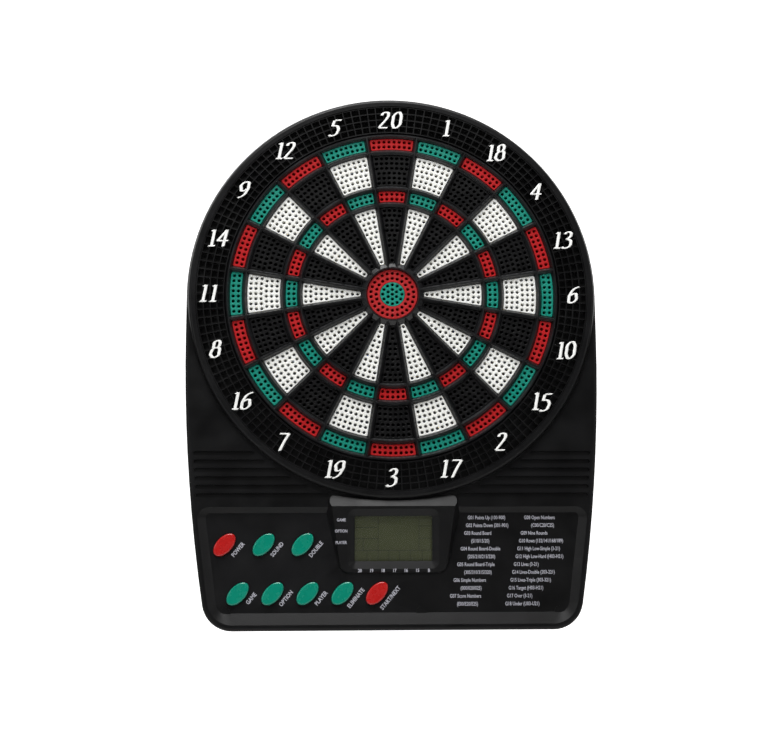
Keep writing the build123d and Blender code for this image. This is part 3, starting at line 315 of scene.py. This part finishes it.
# ---------------------------------------------------------------- numerals
# Twenty white hot-stamped numerals on the catch ring, all upright, in a sloping broad-pen hand. Each
# stroke is a pen line laid as a tube in squashed space and stretched back, so it swells like ink.
NUMERAL_HEIGHT = 15.2 * MM
NUMERAL_RADIUS = 149.3 * MM
TOP_DROP = 1.2 * MM          # the top number sits a little nearer to the target
NUMERAL_RISE = 0.35 * MM
NUMERAL_SLOPE = 0.19
PEN_WIDTH, PEN_EDGE = 0.168, 0.070
PEN_ANGLE = math.radians(14)
RING_FRONT = board_low.y + 0.5 * MM
CLOCKWISE = (20, 1, 18, 4, 13, 6, 10, 15, 2, 17, 3, 19, 7, 16, 8, 11, 14, 9, 12, 5)
SIX = ((0.56, 0.94), (0.34, 0.84), (0.15, 0.57), (0.10, 0.28), (0.27, 0.05), (0.47, 0.18),
       (0.48, 0.40), (0.34, 0.55), (0.16, 0.44))
STROKES = {
    "0": [((0.29, 0.95), (0.15, 0.86), (0.08, 0.50), (0.15, 0.14), (0.29, 0.05), (0.43, 0.14),
           (0.50, 0.50), (0.43, 0.86), "loop")],
    "1": [((0.30, 0.93), (0.30, 0.05)), ((0.31, 0.93), (0.16, 0.85)), ((0.13, 0.04), (0.47, 0.04))],
    "2": [((0.10, 0.77), (0.19, 0.92), (0.34, 0.94), (0.46, 0.80), (0.39, 0.57), (0.22, 0.30),
           (0.07, 0.07)),
          ((0.07, 0.05), (0.52, 0.06))],
    "3": [((0.12, 0.83), (0.22, 0.94), (0.37, 0.93), (0.45, 0.79), (0.36, 0.62), (0.22, 0.55)),
          ((0.22, 0.55), (0.40, 0.51), (0.50, 0.33), (0.39, 0.10), (0.20, 0.04), (0.04, 0.11))],
    "4": [((0.45, 0.94), (0.05, 0.33)), ((0.05, 0.33), (0.60, 0.33)), ((0.45, 0.93), (0.40, 0.02))],
    "5": [((0.18, 0.93), (0.55, 0.95)), ((0.18, 0.92), (0.13, 0.60)),
          ((0.13, 0.60), (0.30, 0.62), (0.46, 0.50), (0.46, 0.28), (0.32, 0.08), (0.14, 0.04),
           (0.03, 0.09))],
    "6": [SIX],
    "7": [((0.08, 0.92), (0.56, 0.92)), ((0.56, 0.92), (0.39, 0.52), (0.24, 0.03))],
    "8": [((0.30, 0.95), (0.19, 0.90), (0.15, 0.76), (0.30, 0.56), (0.45, 0.76), (0.41, 0.90), "loop"),
          ((0.29, 0.56), (0.08, 0.30), (0.14, 0.11), (0.29, 0.05), (0.44, 0.11), (0.50, 0.30), "loop")],
    "9": [tuple((0.58 - x, 1.0 - y) for x, y in SIX)],
}
ADVANCE = {"1": 0.52}
DIGIT_ADVANCE = 0.68
SUNK = {"5": 0.08, "9": 0.08}


def pen_stroke(points):
    """One stroke of the broad pen, as a mesh object in the plane of the page."""
    loop = points[-1] == "loop"
    points = [point for point in points if point != "loop"]
    line = bpy.data.curves.new("stroke", "CURVE")
    line.dimensions = "3D"
    line.bevel_depth = PEN_EDGE / 2
    line.bevel_resolution = 3
    line.use_fill_caps = not loop
    spline = line.splines.new("BEZIER")
    spline.resolution_u = 9
    spline.bezier_points.add(len(points) - 1)
    squash = PEN_EDGE / PEN_WIDTH
    along = Matrix.Rotation(-PEN_ANGLE, 2)
    for knot, point in zip(spline.bezier_points, points):
        turned = along @ Vector(point)
        knot.co = (turned.x * squash, turned.y, 0)
        knot.handle_left_type = knot.handle_right_type = "AUTO" if len(points) > 2 else "VECTOR"
    spline.use_cyclic_u = loop
    stroke = bpy.data.objects.new("stroke", line)
    bpy.context.collection.objects.link(stroke)
    bpy.ops.object.select_all(action="DESELECT")
    bpy.context.view_layer.objects.active = stroke
    stroke.select_set(True)
    bpy.ops.object.convert(target="MESH")
    stretch = Matrix.Diagonal((1 / squash, 1, 1, 1))
    stroke.data.transform(Matrix.Rotation(PEN_ANGLE, 4, "Z") @ stretch)
    return stroke


def joined(parts, name):
    """Join several mesh objects into one piece."""
    bpy.ops.object.select_all(action="DESELECT")
    for part in parts:
        part.select_set(True)
    bpy.context.view_layer.objects.active = parts[0]
    if len(parts) > 1:
        bpy.ops.object.join()
    piece = bpy.context.object
    piece.name = name
    piece.data.name = name
    return piece


def numeral(number):
    """Write a number, slope it, scale it and lay it on the ring."""
    digits = str(number)
    width = sum(ADVANCE.get(digit, DIGIT_ADVANCE) for digit in digits)
    strokes, start = [], -width / 2
    for digit in digits:
        for points in STROKES[digit]:
            stroke = pen_stroke(points)
            stroke.data.transform(Matrix.Translation((start, -0.5 - SUNK.get(digit, 0), 0)))
            strokes.append(stroke)
        start += ADVANCE.get(digit, DIGIT_ADVANCE)
    piece = joined(strokes, f"numeral_{number:02d}")
    slope = Matrix.Identity(4)
    slope[0][1] = NUMERAL_SLOPE
    flat = Matrix.Diagonal((NUMERAL_HEIGHT, NUMERAL_HEIGHT, 2 * NUMERAL_RISE / PEN_EDGE, 1))
    turn = math.radians(18 * CLOCKWISE.index(number))
    radius = NUMERAL_RADIUS - (TOP_DROP if number == 20 else 0)
    place = Matrix.Translation((radius * math.sin(turn), RING_FRONT, radius * math.cos(turn)))
    piece.data.transform(place @ Matrix.Rotation(math.pi / 2, 4, "X") @ flat @ slope)
    bpy.ops.object.shade_smooth()
    return piece


def printed(name, colour, fade):
    """Matt stamped ink, worn a little thin in places."""
    material, nodes, links, shader = painted(name)
    thin = cloudy(nodes, links, 420, 4, 0, 0.35, low=0.45, high=0.8)
    links.new(blend_colours(nodes, links, thin, colour, fade), shader.inputs["Base Color"])
    links.new(cloudy(nodes, links, 300, 2, 0.45, 0.6), shader.inputs["Roughness"])
    grain_bump(nodes, links, shader, 2400, 0.00001)
    return material


white_ink = printed("white_ink", (0.83, 0.83, 0.81), (0.45, 0.45, 0.45))
for number in CLOCKWISE:
    piece = numeral(number)
    wear(piece, white_ink)
    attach(piece, "board")

# ---------------------------------------------------------------- display
# Olive liquid-crystal glass behind a clear window, in the hooded console. The grid that divides its
# fields is printed on the glass; the face leans forward under the hood.
CREST_HEIGHT, FOOT_HEIGHT = 27.4 * MM, 21.4 * MM
CREST_DROP, FOOT_DROP = -171.7 * MM, -224.1 * MM
LEAN = math.atan2(CREST_HEIGHT - FOOT_HEIGHT, CREST_DROP - FOOT_DROP)
SCREEN_DROP = (CREST_DROP + FOOT_DROP) / 2 + 0.6 * MM
SCREEN_HEIGHT = FOOT_HEIGHT + (SCREEN_DROP - FOOT_DROP) * math.tan(LEAN)
SCREEN_SIZE = (61.6 * MM, 35.4 * MM)
GLASS_DEPTH = 5.06 * MM
LCD_OLIVE, LCD_PALE = (0.050, 0.058, 0.022), (0.062, 0.070, 0.029)
LINE_WIDTH = 0.42 * MM
LINE_FILM = 0.02 * MM
tilt = Matrix.Rotation(math.pi / 2 + LEAN, 4, "X")
console = Matrix.Translation((0, -SCREEN_HEIGHT, SCREEN_DROP)) @ tilt
GRID = (
    ((0.305, 0.0), (0.305, 1.0)), ((0.833, 0.0), (0.833, 0.768)), ((0.111, 0.505), (0.111, 0.768)),
    ((0.0, 0.257), (0.29, 0.257)), ((0.0, 0.505), (0.30, 0.505)), ((0.0, 0.768), (1.0, 0.768)),
    ((0.833, 0.228), (1.0, 0.228)), ((0.833, 0.50), (1.0, 0.50)),
    ((0.161, 0.768), (0.161, 1.0)), ((0.4425, 0.768), (0.4425, 1.0)), ((0.58, 0.768), (0.58, 1.0)),
    ((0.724, 0.768), (0.724, 1.0)), ((0.874, 0.768), (0.874, 1.0)),
)


def grid_line(start, end):
    """Thin printed bar between two places given as shares of the screen's width and height."""
    x, y = [((a + b) / 2 - 0.5) * side for a, b, side in zip(start, end, SCREEN_SIZE)]
    across, down = [abs(b - a) * side + LINE_WIDTH for a, b, side in zip(start, end, SCREEN_SIZE)]
    bar = fresh("bar", bpy.ops.mesh.primitive_cube_add, size=1)
    bar.data.transform(
        Matrix.Translation((x, -y, -GLASS_DEPTH)) @ Matrix.Diagonal((across, down, LINE_FILM, 1)))
    return bar


lcd_glass, nodes, links, shader = painted("lcd_glass")
haze = cloudy(nodes, links, 22, 2, 0, 1)
links.new(blend_colours(nodes, links, haze, LCD_OLIVE, LCD_PALE), shader.inputs["Base Color"])
links.new(cloudy(nodes, links, 60, 2, 0.3, 0.4), shader.inputs["Roughness"])
grain_bump(nodes, links, shader, 900, 0.000004)
wear(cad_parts["lcd_glass"], lcd_glass)
clear, nodes, links, shader = painted("clear_window")
shader.inputs["Base Color"].default_value = (0.02, 0.02, 0.02, 1)
shader.inputs["Alpha"].default_value = 0.10
links.new(cloudy(nodes, links, 40, 2, 0.05, 0.12), shader.inputs["Roughness"])
wear(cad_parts["lcd_window"], clear)
grid = joined([grid_line(*ends) for ends in GRID], "lcd_grid")
grid.data.transform(console)
wear(grid, printed("lcd_dark", (0.012, 0.014, 0.008), (0.02, 0.024, 0.012)))
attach(grid, "board")

# ---------------------------------------------------------------- printed legends
# Pad-printed grey legends: one word beside each key, three beside the display, the cricket row under it
# and two slanting columns of game codes. All lie on the plastic as a film of ink.
INK_FILM = 0.04 * MM
TRAY_FRONT = 20.0 * MM
LEGEND_TURN = math.radians(50)
tray = Matrix.Translation((0, -TRAY_FRONT, 0)) @ Matrix.Rotation(math.pi / 2, 4, "X")
legend_ink = printed("legend_ink", (0.42, 0.42, 0.47), (0.22, 0.22, 0.25))


def legend(text, height, squeeze, plane, place, turn=0.0, align="LEFT", bold=0.012):
    """Printed word: height of its capitals, how far it is squeezed, and where it lies on a plane."""
    words = bpy.data.curves.new("legend", "FONT")
    words.body = text
    words.align_x = align
    words.offset = bold
    words.extrude = 0.5
    words.resolution_u = 2
    piece = bpy.data.objects.new("legend", words)
    bpy.context.collection.objects.link(piece)
    bpy.ops.object.select_all(action="DESELECT")
    bpy.context.view_layer.objects.active = piece
    piece.select_set(True)
    bpy.ops.object.convert(target="MESH")
    size = height / 0.73
    lie = Matrix.Translation((*place, INK_FILM / 2)) @ Matrix.Rotation(turn, 4, "Z")
    piece.data.transform(plane @ lie @ Matrix.Diagonal((size * squeeze, size, INK_FILM, 1)))
    return piece


WORDS = {
    "button_power": "POWER", "button_sound": "SOUND", "button_double": "DOUBLE",
    "button_game": "GAME", "button_option": "OPTION", "button_player": "PLAYER",
    "button_eliminate": "ELIMINATE", "button_start": "START/NEXT",
}
WORD_SIDE, WORD_BELOW = 11.8 * MM, 4.6 * MM     # from the key's middle to the word's foot
WORD_HEIGHT, WORD_SQUEEZE = 3.4 * MM, 0.82
for node, word in WORDS.items():
    low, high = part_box(node)
    middle = ((low[0] + high[0]) / 2, (low[2] + high[2]) / 2)
    start = (middle[0] + WORD_SIDE, middle[1] - WORD_BELOW)
    piece = legend(word, WORD_HEIGHT, WORD_SQUEEZE, tray, start, LEGEND_TURN, "CENTER", 0.02)
    piece.name = "legend_" + node[7:]
    wear(piece, legend_ink)
    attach(piece, "board")

SIDE_WORDS = (("GAME", 13.8 * MM), ("OPTION", 5.1 * MM), ("PLAYER", -3.9 * MM))
SIDE_PLACE = -41.5 * MM
side = [legend(word, 2.4 * MM, 0.8, console, (SIDE_PLACE, rise), align="CENTER", bold=0.02)
        for word, rise in SIDE_WORDS]
CRICKET_ROW = ("20", "19", "18", "17", "16", "15", "B")
CRICKET_START, CRICKET_PITCH, CRICKET_DROP = -26.6 * MM, 9.1 * MM, -26.0 * MM
row = []
for index, word in enumerate(CRICKET_ROW):
    place = (CRICKET_START + index * CRICKET_PITCH, CRICKET_DROP)
    row.append(legend(word, 2.6 * MM, 0.85, console, place, align="CENTER", bold=0.03))
piece = joined(side + row, "legend_display")
wear(piece, legend_ink)
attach(piece, "board")

LIST_TOP = -180.9 * MM
LIST_PITCH = 6.13 * MM
LIST_SHIFT = 1.5 * MM
LIST_INDENT = 7.0 * MM
LEFT_COLUMN, RIGHT_COLUMN = 59.5 * MM, 104.8 * MM
LIST_HEIGHT, LIST_SQUEEZE = 3.0 * MM, 0.72
LIST_BASELINE = LIST_TOP - 1.1 * MM
LEFT_LIST = (
    "G01 Points Up (100-900)", "G02 Points Down (301-901)", "G03 Round Board", " (5/10/15/20)",
    "G04 Round Board-Double", " (205/210/215/220)", "G05 Round Board-Triple",
    " (305/310/315/320)", "G06 Simple Numbers", " (000/020/025)", "G07 Score Numbers",
    " (E00/E20/E25)",
)
RIGHT_LIST = (
    "G08 Open Numbers", " (C00/C20/C25)", "G09 Nine Rounds", "G10 Rows (132/141/168/189)",
    "G11 High Low-Simple (3-21)", "G12 High Low-Hard (H03-H21)", "G13 Lives (3-21)",
    "G14 Lives-Double (203-221)", "G15 Lives-Triple (303-321)", "G16 Target (H03-H21)",
    "G17 Over (3-21)", "G18 Under (U03-U21)",
)
for name, column, lines in (("left", LEFT_COLUMN, LEFT_LIST), ("right", RIGHT_COLUMN, RIGHT_LIST)):
    rows = []
    for index, line in enumerate(lines):
        x = column - index * LIST_SHIFT + (LIST_INDENT if line[0] == " " else 0)
        place = (x, LIST_BASELINE - index * LIST_PITCH)
        rows.append(legend(line.strip(), LIST_HEIGHT, LIST_SQUEEZE, tray, place))
    piece = joined(rows, f"legend_list_{name}")
    wear(piece, legend_ink)
    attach(piece, "board")

# ---------------------------------------------------------------- inside
# What the casing hides: foam, films, plate, board, silicone mat, speaker, cells and metal fasteners.
INSIDE = {
    "sensor_pad": moulded("foam", (0.10, 0.10, 0.10), (0.14, 0.14, 0.14), 0.8, 0.95, 900, 0.0003),
    "pressure_plate": moulded("plate_plastic", (0.07, 0.07, 0.07), (0.10, 0.10, 0.10), 0.5, 0.6),
    "keypad_mat": moulded("silicone", (0.42, 0.42, 0.42), (0.5, 0.5, 0.5), 0.55, 0.7),
    "main_board": moulded("laminate", (0.22, 0.16, 0.06), (0.28, 0.21, 0.09), 0.4, 0.55),
    "board_components": moulded("epoxy", (0.012, 0.012, 0.012), (0.03, 0.03, 0.03), 0.35, 0.5),
    "speaker_cone": moulded("paper_cone", (0.03, 0.03, 0.028), (0.06, 0.06, 0.055), 0.8, 0.9, 700,
                            0.0002),
    "speaker_magnet": moulded("ferrite", (0.05, 0.05, 0.05), (0.08, 0.08, 0.08), 0.6, 0.75),
    "battery_cells": moulded("cell_jacket", (0.03, 0.04, 0.07), (0.05, 0.06, 0.09), 0.25, 0.35),
    "speaker_leads": moulded("wire_jacket", (0.3, 0.015, 0.015), (0.36, 0.03, 0.03), 0.35, 0.45),
}
for node, material in INSIDE.items():
    wear(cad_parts[node], material)


def metal(name, colour, rough_low, rough_high):
    """Plated steel with fine scratches."""
    material, nodes, links, shader = painted(name)
    tarnish = cloudy(nodes, links, 160, 5, 0, 0.5, low=0.35)
    dull = tuple(0.7 * value for value in colour)
    links.new(blend_colours(nodes, links, tarnish, colour, dull), shader.inputs["Base Color"])
    links.new(cloudy(nodes, links, 500, 3, rough_low, rough_high), shader.inputs["Roughness"])
    shader.inputs["Metallic"].default_value = 1.0
    grain_bump(nodes, links, shader, 1200, 0.000006)
    return material


zinc = metal("zinc_plate", (0.56, 0.57, 0.58), 0.25, 0.45)
tin = metal("tinned_steel", (0.68, 0.68, 0.66), 0.2, 0.4)
for node in ("housing_screws", "plate_screws", "board_screws", "speaker_frame"):
    wear(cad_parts[node], zinc)
for node in ("battery_springs", "battery_plates", "lcd_pins"):
    wear(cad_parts[node], tin)
film = printed("polyester_film", (0.55, 0.58, 0.58), (0.48, 0.5, 0.5))
for node in ("matrix_front_film", "matrix_spacer", "matrix_rear_film", "matrix_tails"):
    wear(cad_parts[node], film)
